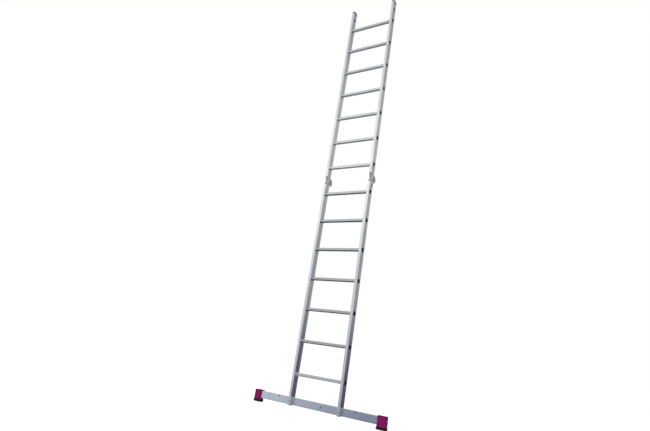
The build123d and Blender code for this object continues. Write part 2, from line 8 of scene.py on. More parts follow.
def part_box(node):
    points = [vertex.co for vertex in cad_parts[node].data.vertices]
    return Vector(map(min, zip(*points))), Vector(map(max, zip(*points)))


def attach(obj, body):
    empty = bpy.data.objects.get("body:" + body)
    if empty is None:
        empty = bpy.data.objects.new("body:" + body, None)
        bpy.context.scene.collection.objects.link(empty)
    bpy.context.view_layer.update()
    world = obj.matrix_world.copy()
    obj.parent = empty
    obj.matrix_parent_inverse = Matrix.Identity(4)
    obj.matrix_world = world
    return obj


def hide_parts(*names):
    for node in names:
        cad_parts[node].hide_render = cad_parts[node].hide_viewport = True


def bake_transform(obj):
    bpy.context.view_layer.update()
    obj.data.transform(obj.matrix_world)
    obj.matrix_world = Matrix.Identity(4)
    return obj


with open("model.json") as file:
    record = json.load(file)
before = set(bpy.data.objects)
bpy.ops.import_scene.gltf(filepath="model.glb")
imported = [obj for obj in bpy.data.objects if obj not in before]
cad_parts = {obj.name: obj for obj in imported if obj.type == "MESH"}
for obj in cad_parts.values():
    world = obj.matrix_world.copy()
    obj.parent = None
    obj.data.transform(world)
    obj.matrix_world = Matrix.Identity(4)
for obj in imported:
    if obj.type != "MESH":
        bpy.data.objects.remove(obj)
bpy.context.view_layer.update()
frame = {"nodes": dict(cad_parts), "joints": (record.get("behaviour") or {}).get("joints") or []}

# Camera
# It stands low, to the right of the ladder and about four metres away, with a wide lens.
# The frame is rolled by nine degrees, because the ladder stands slanted in the picture.
IMAGE_WIDTH = 650
FOCAL_PIXELS = 448.0
SHIFT_PIXELS = (-0.25, 0.30)
CAMERA_PLACE = Vector((2.0201, -3.4671, 0.4238))
CAMERA_TARGET = Vector((-0.1976, -0.0195, 1.7390))
CAMERA_ROLL = math.radians(9.19)
scene = bpy.context.scene
lens = bpy.data.cameras.new("photo_camera")
lens.lens = lens.sensor_width * FOCAL_PIXELS / IMAGE_WIDTH
lens.shift_x, lens.shift_y = (pixels / IMAGE_WIDTH for pixels in SHIFT_PIXELS)
camera = bpy.data.objects.new("photo_camera", lens)
camera.location = CAMERA_PLACE
camera.rotation_mode = "QUATERNION"
aim = (CAMERA_TARGET - CAMERA_PLACE).to_track_quat("-Z", "Y")
camera.rotation_quaternion = aim @ Quaternion((0.0, 0.0, 1.0), CAMERA_ROLL)
scene.collection.objects.link(camera)
scene.camera = camera
scene.view_settings.view_transform = "Standard"


# Studio light
# A white room for the eye. The metal sees a wide soft light at the front and a dimmer room behind.
# The light is strongest a little above the horizon, so upright faces grow darker towards the floor.
class Signal:
    """One output in a node tree. Arithmetic on it adds Math nodes to the same tree."""

    def __init__(self, tree, socket=None):
        self.tree = tree
        self.socket = socket

    def node(self, kind, settings, inputs, output=0):
        made = self.tree.nodes.new(kind)
        for name, value in settings.items():
            if name == "stops":
                while len(made.color_ramp.elements) < len(value):
                    made.color_ramp.elements.new(1.0)
                for stop, (position, colour) in zip(made.color_ramp.elements, value):
                    stop.position = position
                    stop.color = (*colour, 1.0)
            else:
                setattr(made, name, value)
        for name, value in inputs.items():
            for source in value if isinstance(value, list) else [value]:
                if isinstance(source, Signal):
                    self.tree.links.new(source.socket, made.inputs[name])
                else:
                    made.inputs[name].default_value = source
        return Signal(self.tree, made.outputs[output])

    def other(self, output):
        return Signal(self.tree, self.socket.node.outputs[output])

    def feed(self, node, socket):
        self.tree.links.new(self.socket, node.inputs[socket])

    def math(self, operation, first, second=0.0):
        return self.node("ShaderNodeMath", {"operation": operation}, {0: first, 1: second})

    def __add__(self, term):
        return self.math("ADD", self, term)

    def __radd__(self, term):
        return self.math("ADD", term, self)

    def __sub__(self, term):
        return self.math("SUBTRACT", self, term)

    def __rsub__(self, term):
        return self.math("SUBTRACT", term, self)

    def __mul__(self, factor):
        return self.math("MULTIPLY", self, factor)

    def __rmul__(self, factor):
        return self.math("MULTIPLY", factor, self)

    def __truediv__(self, divisor):
        return self.math("DIVIDE", self, divisor)

    def __abs__(self):
        return self.math("ABSOLUTE", self)

    def least(self, limit):
        return self.math("MINIMUM", self, limit)

    def most(self, limit):
        return self.math("MAXIMUM", self, limit)

    def ramp(self, start, end):
        """0 at start, 1 at end and smooth between them, whichever is larger."""
        sizes = {"Value": self, "From Min": start, "From Max": end}
        return self.node("ShaderNodeMapRange", {"interpolation_type": "SMOOTHSTEP"}, sizes)

    def tint(self, low, high):
        """The colour low where this is 0, and high where it is 1."""
        return self.node("ShaderNodeMix", {"data_type": "RGBA"}, {0: self, 6: low, 7: high}, 2)


def axes(place):
    """The x, y and z of a place, in metres, or of a direction."""
    x = place.node("ShaderNodeSeparateXYZ", {}, {"Vector": place}, "X")
    return x, x.other("Y"), x.other("Z")


FRONT_LIGHT = [
    (0.00, (0.16, 0.17, 0.19)),
    (0.32, (0.18, 0.19, 0.22)),
    (0.41, (0.46, 0.50, 0.59)),
    (0.46, (0.70, 0.75, 0.87)),
    (0.50, (0.74, 0.77, 0.86)),
    (0.535, (0.63, 0.65, 0.71)),
    (0.565, (0.72, 0.74, 0.77)),
    (0.60, (0.48, 0.49, 0.51)),
    (0.645, (1.12, 1.12, 1.06)),
    (0.68, (1.16, 1.16, 1.09)),
    (0.74, (0.98, 0.98, 0.96)),
    (0.84, (0.64, 0.65, 0.67)),
    (1.00, (0.74, 0.74, 0.75)),
]
REAR_LIGHT = [
    (0.00, (0.36, 0.36, 0.37)),
    (0.28, (0.34, 0.34, 0.35)),
    (0.36, (0.24, 0.24, 0.26)),
    (0.43, (0.075, 0.080, 0.097)),
    (0.48, (0.041, 0.046, 0.068)),
    (0.506, (0.062, 0.068, 0.097)),
    (0.54, (0.165, 0.175, 0.21)),
    (0.57, (0.53, 0.54, 0.58)),
    (0.61, (0.25, 0.25, 0.255)),
    (0.64, (0.39, 0.39, 0.365)),
    (0.68, (0.47, 0.47, 0.44)),
    (0.735, (0.54, 0.54, 0.51)),
    (0.80, (0.385, 0.385, 0.385)),
    (0.825, (0.315, 0.315, 0.325)),
    (1.00, (0.55, 0.55, 0.56)),
]
FRONT_SPREAD = 0.55
BACKDROP_WHITE = (1.0, 1.0, 1.0, 1.0)
LOW_FRONT_DIMMING = 0.60
LOW_FRONT_SIDE = (-0.75, -0.30)
LOW_FRONT_RISE = (0.06, -0.07)
LOW_REAR_DIMMING = 0.68
LOW_REAR_SIDE = (-0.15, -0.40)
LOW_REAR_RISE = (0.0, -0.10)
LOW_REAR_FLOOR = (-0.46, -0.30)
world = bpy.data.worlds.new("studio")
world.use_nodes = True
world.node_tree.nodes.clear()
scene.world = world
room = Signal(world.node_tree)
across, back, rise = axes(room.node("ShaderNodeTexCoord", {}, {}, "Generated"))
height = rise * 0.5 + 0.5
front = room.node("ShaderNodeValToRGB", {"stops": FRONT_LIGHT}, {"Fac": height})
rear = room.node("ShaderNodeValToRGB", {"stops": REAR_LIGHT}, {"Fac": height})
facing = (0.0 - back).ramp(-FRONT_SPREAD, FRONT_SPREAD)
low_front = facing * across.ramp(*LOW_FRONT_SIDE) * rise.ramp(*LOW_FRONT_RISE)
low_rear = (1.0 - facing) * across.ramp(*LOW_REAR_SIDE) * rise.ramp(*LOW_REAR_RISE)
low_rear = low_rear * rise.ramp(*LOW_REAR_FLOOR)
strength = (1.0 - LOW_FRONT_DIMMING * low_front) * (1.0 - LOW_REAR_DIMMING * low_rear)
seen = room.node("ShaderNodeLightPath", {}, {}, "Is Camera Ray")
glow = {"Color": facing.tint(rear, front), "Strength": strength}
soft_light = room.node("ShaderNodeBackground", {}, glow)
backdrop = room.node("ShaderNodeBackground", {}, {"Color": BACKDROP_WHITE})
shown = room.node("ShaderNodeMixShader", {}, {0: seen, 1: soft_light, 2: backdrop})
shown.feed(world.node_tree.nodes.new("ShaderNodeOutputWorld"), "Surface")

# Floor
# A pale matt floor that runs on into the white backdrop, with only a faint shadow under the feet.
# It is painted board, so its white is a little uneven.
FLOOR_REACH = 40.0
FLOOR_DULL = (0.80, 0.80, 0.80, 1.0)
FLOOR_PALE = (0.84, 0.84, 0.84, 1.0)
FLOOR_GLOW = 0.68
floor_mesh = bpy.data.meshes.new("floor")
corners = [(-1, -1), (1, -1), (1, 1), (-1, 1)]
floor_mesh.from_pydata([(x * FLOOR_REACH, y * FLOOR_REACH, 0.0) for x, y in corners], [], [(0, 1, 2, 3)])
floor = bpy.data.objects.new("floor", floor_mesh)
scene.collection.objects.link(floor)


def new_finish(name):
    """A material, its surface shader and the place on the object, in metres."""
    material = bpy.data.materials.new(name)
    material.use_nodes = True
    surface = material.node_tree.nodes["Principled BSDF"]
    place = Signal(material.node_tree).node("ShaderNodeTexCoord", {}, {}, "Object")
    return material, surface, place


def mottle(place, scale, detail, roughness=0.5):
    """A cloudy pattern over the object, finer where the scale is larger."""
    grain = {"Vector": place, "Scale": scale, "Detail": detail, "Roughness": roughness}
    return place.node("ShaderNodeTexNoise", {}, grain)


paint, surface, place = new_finish("pale_floor")
mottle(place, 0.8, 2.0).tint(FLOOR_DULL, FLOOR_PALE).feed(surface, "Base Color")
surface.inputs["Roughness"].default_value = 0.9
surface.inputs["Specular IOR Level"].default_value = 0.0
surface.inputs["Emission Color"].default_value = (1.0, 1.0, 1.0, 1.0)
surface.inputs["Emission Strength"].default_value = FLOOR_GLOW
floor_mesh.materials.append(paint)
floor.visible_glossy = False


# Stiles
# Hollow aluminium extrusions, a pair for each section, with a shallow panel sunk in both sides.
# Die lines run up them and hands have polished their corners. Grime with painted contact shade darkens them
# around the rung joints, shade is painted round the rung mouths, the top holes and the window, and the
# inside faces of the walls are painted in shade.
def emboss(surface, pattern, strength, depth):
    """Fine relief on a surface, from a pattern."""
    relief = {"Height": pattern, "Strength": strength, "Distance": depth}
    pattern.node("ShaderNodeBump", {}, relief).feed(surface, "Normal")


def drawn_aluminium(name, squeeze, dull, bright, satin):
    """Extruded aluminium with die lines along the axis that squeeze shrinks."""
    material, surface, place = new_finish(name)
    stretched = place.node("ShaderNodeMapping", {}, {"Vector": place, "Scale": squeeze})
    lines = mottle(stretched, 620.0, 3.0)
    bands = mottle(stretched, 95.0, 2.0)
    cloud = mottle(place, 7.0, 5.0)
    scuff = mottle(place, 46.0, 8.0, 0.72).ramp(0.60, 0.68) * cloud.ramp(0.42, 0.62)
    streak = (lines * 0.45 + bands * 0.55).ramp(0.30, 0.70)
    tone = streak * 0.55 + cloud.ramp(0.30, 0.72) * 0.45
    emboss(surface, lines, 0.12, 0.0004)
    surface.inputs["Metallic"].default_value = 1.0
    colour = (scuff * 0.35).tint(tone.tint(dull, bright), SCUFFED)
    roughness = satin + 0.16 * (1.0 - tone) + 0.14 * scuff
    return material, surface, place, cloud, colour, roughness


def above_rung(z):
    """The height above the axis of the nearest rung."""
    step = (z - rung_middle.z) / rung_pitch
    return (step - step.math("ROUND", step)) * rung_pitch


def around(place, hole):
    """The distance from the axis of a hole that runs across the ladder."""
    level = place.node("ShaderNodeVectorMath", {"operation": "MULTIPLY"}, {0: place, 1: (0.0, 1.0, 1.0)})
    ends = {0: level, 1: (0.0, hole[1], hole[2])}
    return place.node("ShaderNodeVectorMath", {"operation": "DISTANCE"}, ends, "Value")


def dress(material, *names):
    """Gives CAD nodes their material."""
    for name in names:
        frame["nodes"][name].data.materials.clear()
        frame["nodes"][name].data.materials.append(material)


ALONG_Z = (1.0, 1.0, 0.004)
STILE_DULL = (0.76, 0.77, 0.80, 1.0)
STILE_BRIGHT = (0.90, 0.905, 0.92, 1.0)
SCUFFED = (0.60, 0.61, 0.63, 1.0)
WORN_EDGE = 0.003
# Grime with painted contact shade around each rung joint.
JOINT_GRIME_AND_SHADE = (0.52, 0.53, 0.56, 1.0)
JOINT_SHADE_REACH = (0.030, 0.016)
# Painted shade on the inside faces of hollow tubes.
TUBE_SHADE = (0.05, 0.05, 0.055, 1.0)
STILE_SKIN = (0.0012, 0.0018)
# Painted shade, near black, round the rung mouths on the outer sides, the top holes and the window.
HOLE_SHADE = (0.06, 0.06, 0.065, 1.0)
RUNG_MOUTH_SHADE = (0.0200, 0.0162)
TOP_HOLE = (0.0, -0.0135, 4.073)
TOP_HOLE_SHADE = (0.019, 0.0114)
WINDOW_SHADE_CENTRE = (0.0, 0.005, 2.031)
WINDOW_SHADE_REACH = (0.023, 0.0138)
stile_low, stile_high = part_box("lower_right_stile")
stile_middle = (stile_low + stile_high) / 2
stile_half = (stile_high - stile_low) / 2
rung_low, rung_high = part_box("lower_rung_1")
rung_middle = (rung_low + rung_high) / 2
rung_pitch = (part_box("lower_rung_2")[0] - rung_low).z
finish = drawn_aluminium("stile_aluminium", ALONG_Z, STILE_DULL, STILE_BRIGHT, 0.22)
stile_metal, surface, place, cloud, colour, roughness = finish
x, y, z = axes(place)
beside_rung = abs(above_rung(z)).most(abs(y - rung_middle.y))
# Grime with painted contact shade, patchy, round each rung joint.
joint_grime_and_shade = beside_rung.ramp(*JOINT_SHADE_REACH) * cloud.ramp(0.35, 0.65) * 0.35
off_x = abs(abs(x) - stile_middle.x)
off_y = abs(y - stile_middle.y)
edge = off_x.ramp(stile_half.x - WORN_EDGE, stile_half.x)
edge = edge * off_y.ramp(stile_half.y - WORN_EDGE, stile_half.y)
# Faces inside the walls, which are painted in shade.
inside = (stile_half.x - off_x).least(stile_half.y - off_y).ramp(*STILE_SKIN)
outside = abs(x).ramp(stile_middle.x, stile_high.x)
# Painted shade round the rung mouths, the top holes and the window.
darkening = beside_rung.ramp(*RUNG_MOUTH_SHADE) * outside
darkening = darkening.most(around(place, TOP_HOLE).ramp(*TOP_HOLE_SHADE))
darkening = darkening.most(around(place, WINDOW_SHADE_CENTRE).ramp(*WINDOW_SHADE_REACH) * outside)
darkening = darkening * (0.70 + 0.30 * cloud)
inside.tint(darkening.tint(joint_grime_and_shade.tint(colour, JOINT_GRIME_AND_SHADE), HOLE_SHADE), TUBE_SHADE).feed(surface, "Base Color")
(roughness + joint_grime_and_shade * 0.3 - edge * 0.06 + inside * 0.45 + darkening * 0.25).feed(surface, "Roughness")
dress(stile_metal, "lower_left_stile", "lower_right_stile", "upper_left_stile", "upper_right_stile")

# Rungs
# Ribbed square aluminium tubes, pushed through both stiles and swaged there, so their ends stay open.
# Boots burnish the ribs and leave dirt in the grooves. The rungs between about half a metre and two metres
# up are darker and bluer, with painted shade along their lower front edge, and the bores and open ends are
# painted black as shade.
ALONG_X = (0.004, 1.0, 1.0)
RUNG_COUNT = 7
RUNG_DULL = (0.76, 0.77, 0.79, 1.0)
RUNG_BRIGHT = (0.90, 0.90, 0.91, 1.0)
BOOT_DIRT = (0.34, 0.34, 0.35, 1.0)
GROOVE = (0.0134, 0.0129)
# The rungs between about half a metre and two metres up are tinted darker and bluer.
LOWER_RUNG_TINT = (0.54, 0.55, 0.58, 1.0)
LOWER_RUNGS_FROM = (0.35, 0.50)
LOWER_RUNGS_TO = (2.10, 1.85)
SHADED_LIP = (0.20, 0.20, 0.22, 1.0)
LIP = (-0.0035, -0.0100)
# Reaches of the black painted shade in the bores and open ends.
BORE = (0.0124, 0.0118)
MOUTH = (0.0160, 0.0157)
MOUTH_DEPTH = 0.0021
MOUTH_FADE = 0.0001
finish = drawn_aluminium("rung_aluminium", ALONG_X, RUNG_DULL, RUNG_BRIGHT, 0.24)
rung_metal, surface, place, cloud, colour, roughness = finish
x, y, z = axes(place)
above_axis = above_rung(z)
from_axis = abs(above_axis).most(abs(y - rung_middle.y))
dirt = from_axis.ramp(*GROOVE) * cloud.ramp(0.25, 0.60) * 0.6
# The open ends and bores are painted black as shade.
mouth_start = rung_high.x - MOUTH_DEPTH
mouth = abs(x).ramp(mouth_start, mouth_start + MOUTH_FADE) * from_axis.ramp(*MOUTH)
inside = mouth.most(from_axis.ramp(*BORE))
# Mask of those rungs; the painted shade on the lower lip uses it too.
lower_rungs = z.ramp(*LOWER_RUNGS_FROM) * z.ramp(*LOWER_RUNGS_TO)
lip = above_axis.ramp(*LIP) * lower_rungs
dirt_and_tint = (lower_rungs * 0.75).tint(dirt.tint(colour, BOOT_DIRT), LOWER_RUNG_TINT)
inside.tint((lip * 0.84).tint(dirt_and_tint, SHADED_LIP), TUBE_SHADE).feed(surface, "Base Color")
(roughness + dirt * 0.25 + inside * 0.45 + lip * 0.15).feed(surface, "Roughness")
for section in ("lower", "upper"):
    dress(rung_metal, *[f"{section}_rung_{index + 1}" for index in range(RUNG_COUNT)])


# Rung swages
# The rolled beads that lock each rung to its stiles: one bulged out inside and one turned over outside.
# They are cold formed from the rung's own wall, in its metal, and the outer ones carry the black shade
# painted on the rung's open ends.
def shaped(name, material, sizes, build):
    """A mesh that Geometry Nodes make from named sizes; build links the nodes and gives their geometry."""
    tree = bpy.data.node_groups.new(name, "GeometryNodeTree")
    tree.is_modifier = True
    for size, value in sizes.items():
        kind = "NodeSocketInt" if isinstance(value, int) else "NodeSocketFloat"
        tree.interface.new_socket(size, in_out="INPUT", socket_type=kind)
    tree.interface.new_socket("Geometry", in_out="OUTPUT", socket_type="NodeSocketGeometry")
    entry = tree.nodes.new("NodeGroupInput")
    make = Signal(tree)
    made = build(make, {size: Signal(tree, entry.outputs[size]) for size in sizes})
    made = make.node("GeometryNodeRealizeInstances", {}, {"Geometry": made})
    made = make.node("GeometryNodeSetMaterial", {}, {"Geometry": made, "Material": material})
    made.feed(tree.nodes.new("NodeGroupOutput"), "Geometry")
    piece = bpy.data.objects.new(name, bpy.data.meshes.new(name))
    scene.collection.objects.link(piece)
    modifier = piece.modifiers.new(name, "NODES")
    modifier.node_group = tree
    for item in tree.interface.items_tree:
        if item.in_out == "INPUT":
            modifier[item.identifier] = sizes[item.name]
    ready = piece.evaluated_get(bpy.context.evaluated_depsgraph_get())
    mesh = bpy.data.meshes.new_from_object(ready)
    piece.modifiers.clear()
    piece.data = mesh
    return piece


def swept(make, path, thickness, sides):
    """A smooth round bar of that radius along a curve, closed at its ends."""
    profile = make.node("GeometryNodeCurvePrimitiveCircle", {}, {"Resolution": sides, "Radius": 1.0})
    along = {"Curve": path, "Profile Curve": profile, "Scale": thickness, "Fill Caps": True}
    bar = make.node("GeometryNodeCurveToMesh", {}, along)
    return make.node("GeometryNodeSetShadeSmooth", {}, {"Geometry": bar})


def row(make, shape, count, start, step):
    """Copies of a shape, a step apart."""
    line = {"Count": count, "Start Location": start, "Offset": step}
    points = make.node("GeometryNodeMeshLine", {"mode": "OFFSET"}, line)
    return make.node("GeometryNodeInstanceOnPoints", {}, {"Points": points, "Instance": shape})


def swages(make, size):
    """Both rings of every rung in one section."""
    rings = []
    for ring in ("bead", "rim"):
        width = size[f"{ring} width"]
        square = make.node("GeometryNodeCurvePrimitiveQuadrilateral", {}, {"Width": width, "Height": width})
        rounding = {"Curve": square, "Count": 6, "Radius": size[f"{ring} corner"]}
        path = make.node("GeometryNodeFilletCurve", {"mode": "POLY"}, rounding)
        bar = swept(make, path, size[f"{ring} thickness"], 12)
        stood_up = {"Geometry": bar, "Rotation": (0.0, math.pi / 2, 0.0)}
        upright = make.node("GeometryNodeTransform", {}, stood_up)
        out = size[f"{ring} place"]
        left = make.node("ShaderNodeCombineXYZ", {}, {"X": 0.0 - out})
        right = make.node("ShaderNodeCombineXYZ", {}, {"X": out * 2.0})
        rings.append(row(make, upright, 2, left, right))
    both = make.node("GeometryNodeJoinGeometry", {}, {"Geometry": rings})
    first = make.node("ShaderNodeCombineXYZ", {}, {"Y": size["depth"], "Z": size["first height"]})
    pitch = make.node("ShaderNodeCombineXYZ", {}, {"Z": size["pitch"]})
    return row(make, both, size["rungs"], first, pitch)


SWAGE_SIZES = {
    "bead width": 0.0279,
    "bead corner": 0.00445,
    "bead thickness": 0.00185,
    "bead place": 0.2245,
    "rim width": 0.0303,
    "rim corner": 0.00565,
    "rim thickness": 0.00105,
    "rim place": 0.2499,
    "rungs": RUNG_COUNT,
    "depth": rung_middle.y,
    "pitch": rung_pitch,
}
for section in ("lower", "upper"):
    first_low, first_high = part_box(f"{section}_rung_1")
    sizes = SWAGE_SIZES | {"first height": (first_low.z + first_high.z) / 2}
    rung_swages = shaped(f"{section}_rung_swages", rung_metal, sizes, swages)
    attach(rung_swages, f"{section}_section")

# Hinge blocks
# Packing pieces sawn from flat aluminium bar, inside the tops of the lower stiles between the cheeks.
# The saw left short cross lines on them; they show only where a stile is open.
ALONG_Y = (1.0, 0.05, 1.0)
SAWN_DULL = (0.70, 0.70, 0.72, 1.0)
SAWN_BRIGHT = (0.88, 0.88, 0.90, 1.0)
finish = drawn_aluminium("block_aluminium", ALONG_Y, SAWN_DULL, SAWN_BRIGHT, 0.36)
sawn_metal, surface, _, _, colour, roughness = finish
colour.feed(surface, "Base Color")
roughness.feed(surface, "Roughness")
dress(sawn_metal, "left_hinge_block", "right_hinge_block")

# Hinge cheeks and tongues
# Steel plates, zinc plated: two cheeks riveted into each lower stile and a tongue into each upper one.
# The facing tool left faint rings on the discs; grease with painted shade darkens their hollow, and painted
# shade darkens the gap below and the window nearly to black.
PLATE_DARK = (0.82, 0.83, 0.81, 1.0)
PLATE_LIGHT = (0.96, 0.97, 0.95, 1.0)
# A darker film in the hollow round the pivot: grease with painted shade.
GREASE_AND_SHADE = (0.48, 0.48, 0.47, 1.0)
HOLLOW = (0.0312, 0.0302)
# Painted shade, near black, in the gap between the cheeks and round the window.
GAP_SHADE = (0.03, 0.03, 0.032, 1.0)
GAP_WALL = (0.0062, 0.0056)
GAP_TOP = (2.050, 2.046)
WINDOW = (0.0, -0.001, 2.031)
WINDOW_WALL = (0.0100, 0.0094)
fold = next(joint for joint in frame["joints"] if joint["name"] == "fold")
pivot = Vector(fold["pos_m"])


def faced_steel(name, dark, light, hollow_share):
    """Zinc plated plate with turned rings around the hinge's pivot. The last argument is the share of a
    darker film in the hollow round the pivot, grease with painted shade; the gap between the cheeks and the
    window are painted near black as shade.
    """
    material, surface, place = new_finish(name)
    x, _, z = axes(place)
    radius = around(place, pivot)
    turned = {"W": radius, "Scale": 1500.0, "Detail": 2.0}
    rings = place.node("ShaderNodeTexNoise", {"noise_dimensions": "1D"}, turned)
    cloud = mottle(place, 85.0, 5.0)
    tone = rings * 0.4 + cloud.ramp(0.30, 0.70) * 0.6
    # Grease with painted shade in the hollow.
    hollow_darkening = radius.ramp(*HOLLOW) * (0.95 - 0.60 * cloud.ramp(0.30, 0.75)) * hollow_share
    # Painted shade in the gap between the cheeks and round the window.
    gap = abs(abs(x) - stile_middle.x).ramp(*GAP_WALL) * z.ramp(*GAP_TOP)
    gap = gap.most(around(place, WINDOW).ramp(*WINDOW_WALL))
    gap.tint(hollow_darkening.tint(tone.tint(dark, light), GREASE_AND_SHADE), GAP_SHADE).feed(surface, "Base Color")
    (0.52 - 0.16 * tone + 0.10 * hollow_darkening).feed(surface, "Roughness")
    emboss(surface, rings, 0.1, 0.0004)
    surface.inputs["Metallic"].default_value = 1.0
    return material


cheek_steel = faced_steel("hinge_steel", PLATE_DARK, PLATE_LIGHT, 0.9)
tongue_steel = faced_steel("tongue_steel", PLATE_DARK, PLATE_LIGHT, 0.5)
for side in ("left", "right"):
    dress(cheek_steel, f"{side}_hinge_inner_cheek", f"{side}_hinge_outer_cheek")
    dress(tongue_steel, f"{side}_hinge_tongue")

# Hinge rivets
# Solid steel rivets, zinc plated, four through each stile and the hinge plate inside it.
# Both heads are domes, a little flat on top where the punch closed them.
ZINC_DARK = (0.46, 0.47, 0.50, 1.0)
ZINC_LIGHT = (0.70, 0.71, 0.74, 1.0)
zinc, surface, place = new_finish("fastener_steel")
spangle = mottle(place, 420.0, 4.0)
spangle.ramp(0.30, 0.70).tint(ZINC_DARK, ZINC_LIGHT).feed(surface, "Base Color")
(0.24 + 0.22 * spangle).feed(surface, "Roughness")
emboss(surface, spangle, 0.08, 0.0003)
surface.inputs["Metallic"].default_value = 1.0
RIVET_POINTS = 20
HEAD_SHARE = 0.25
SHANK_SHARE = 0.6
PUNCH_FLAT = math.radians(15.0)


def rivets(make, size):
    """The rivets of one section: a shank with a dome at both ends, in two columns and two rows a stile."""
    ends = {"Start": (-1.0, 0.0, 0.0), "End": (1.0, 0.0, 0.0)}
    axis = make.node("GeometryNodeCurvePrimitiveLine", {}, ends)
    axis = make.node("GeometryNodeResampleCurve", {}, {"Curve": axis, "Count": RIVET_POINTS})
    along = make.node("GeometryNodeSplineParameter", {}, {}, "Index") * (2.0 / (RIVET_POINTS - 1)) - 1.0
    reach = abs(along)
    head = reach.math("GREATER_THAN", reach, HEAD_SHARE)
    angle = PUNCH_FLAT + (1.0 - reach) * ((math.pi / 2 - PUNCH_FLAT) / (1.0 - HEAD_SHARE))
    dome = size["grip"] + size["head height"] * angle.math("COSINE", angle)
    shank = size["grip"] * (reach / HEAD_SHARE).ramp(0.0, SHANK_SHARE)
    out = head * dome + (1.0 - head) * shank
    bulge = head * size["head radius"] * angle.math("SINE", angle) + (1.0 - head) * size["shank radius"]
    drawn = make.node("ShaderNodeCombineXYZ", {}, {"X": out * along.math("SIGN", along)})
    axis = make.node("GeometryNodeSetPosition", {}, {"Geometry": axis, "Position": drawn})
    shape = swept(make, axis, bulge, 24)
    for letter in "XYZ":
        start = make.node("ShaderNodeCombineXYZ", {}, {letter: size[f"first {letter}"]})
        step = make.node("ShaderNodeCombineXYZ", {}, {letter: size[f"step {letter}"]})
        shape = row(make, shape, 2, start, step)
    return shape


RIVET_HEAD = 0.0065
RIVET_SIZES = {
    "grip": 0.0117,
    "head height": 0.0018,
    "head radius": RIVET_HEAD,
    "shank radius": 0.0039,
    "first X": -stile_middle.x,
    "step X": stile_middle.x * 2,
}
for section in ("lower", "upper"):
    low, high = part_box(f"{section}_hinge_rivets")
    spots = {}
    for letter, start, end in (("Y", low.y, high.y), ("Z", low.z, high.z)):
        spots |= {f"first {letter}": start + RIVET_HEAD, f"step {letter}": end - start - RIVET_HEAD * 2}
    hinge_rivets = shaped(f"{section}_domed_rivets", zinc, RIVET_SIZES | spots, rivets)
    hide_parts(f"{section}_hinge_rivets")
    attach(hinge_rivets, f"{section}_section")

# Hinge pins
# Turned steel pivots through cheeks and tongue, zinc plated, with a wide low head on both sides.
# A hexagon key fits the socket in the head; like the discs' hollow, the pin is a little darker all over,
# from grease with painted shade.
PIN_DARK = (0.60, 0.61, 0.63, 1.0)
PIN_LIGHT = (0.80, 0.81, 0.83, 1.0)
# About a third of the hollow's darker film, grease with painted shade, lies on the pins.
pin_steel = faced_steel("pin_steel", PIN_DARK, PIN_LIGHT, 0.35)
dress(pin_steel, "left_hinge_pin", "right_hinge_pin")

# Lock pawls
# Steel levers that drop into the tongue's notches, zinc plated, with a dull film between the cheeks.
# The release tab at the front is ground bright, and thumbs keep it so.
FILM_DARK = (0.62, 0.62, 0.63, 1.0)
FILM_LIGHT = (0.80, 0.80, 0.81, 1.0)
GROUND_DARK = (0.78, 0.79, 0.81, 1.0)
GROUND_LIGHT = (0.94, 0.95, 0.97, 1.0)
TAB = (-0.0200, -0.0300)
pawl_steel, surface, place = new_finish("lock_steel")
cloud = mottle(place, 240.0, 5.0)
tab = axes(place)[1].ramp(*TAB)
tone = cloud.ramp(0.35, 0.70)
tab.tint(tone.tint(FILM_DARK, FILM_LIGHT), tone.tint(GROUND_DARK, GROUND_LIGHT)).feed(surface, "Base Color")
(0.40 + 0.25 * cloud - 0.14 * tab).feed(surface, "Roughness")
emboss(surface, cloud, 0.1, 0.0002)
surface.inputs["Metallic"].default_value = 1.0
dress(pawl_steel, "left_lock_pawl", "right_lock_pawl")

# Lock pins
# Plain steel pins, one through each pair of cheeks, that the pawls turn on.
# They are ground rod, cut to length and zinc plated.
dress(zinc, "left_lock_pin", "right_lock_pin")

# Lock springs
# Coil springs of drawn wire between each hinge block and its pawl, which they press up.
# Their end coils are closed up to sit square.
SPRING_TURNS = 7.0
SPRING_RADIUS = 0.0038
WIRE_RADIUS = 0.0007
CLOSED_ENDS = 0.55
WIRE_DARK = (0.34, 0.34, 0.36, 1.0)
WIRE_LIGHT = (0.58, 0.58, 0.60, 1.0)
wire_steel, surface, place = new_finish("spring_steel")
draw = mottle(place, 700.0, 3.0)
draw.ramp(0.30, 0.70).tint(WIRE_DARK, WIRE_LIGHT).feed(surface, "Base Color")
(0.20 + 0.20 * draw).feed(surface, "Roughness")
surface.inputs["Metallic"].default_value = 1.0


def spring(make, size):
    """A coil whose turns crowd together at both ends."""
    turn = {"Resolution": 28, "Rotations": size["turns"], "Height": size["length"]}
    turn |= {"Start Radius": size["radius"], "End Radius": size["radius"]}
    coil = make.node("GeometryNodeCurveSpiral", {}, turn)
    along = make.node("GeometryNodeSplineParameter", {}, {}, "Factor")
    wave = along * (2.0 * math.pi)
    lift = size["length"] * (along - wave.math("SINE", wave) * (CLOSED_ENDS / (2.0 * math.pi)))
    x, y, _ = axes(make.node("GeometryNodeInputPosition", {}, {}))
    seat = {"X": x + size["seat X"], "Y": y + size["seat Y"], "Z": lift + size["seat Z"]}
    wound = make.node("ShaderNodeCombineXYZ", {}, seat)
    coil = make.node("GeometryNodeSetPosition", {}, {"Geometry": coil, "Position": wound})
    return swept(make, coil, size["wire radius"], 10)


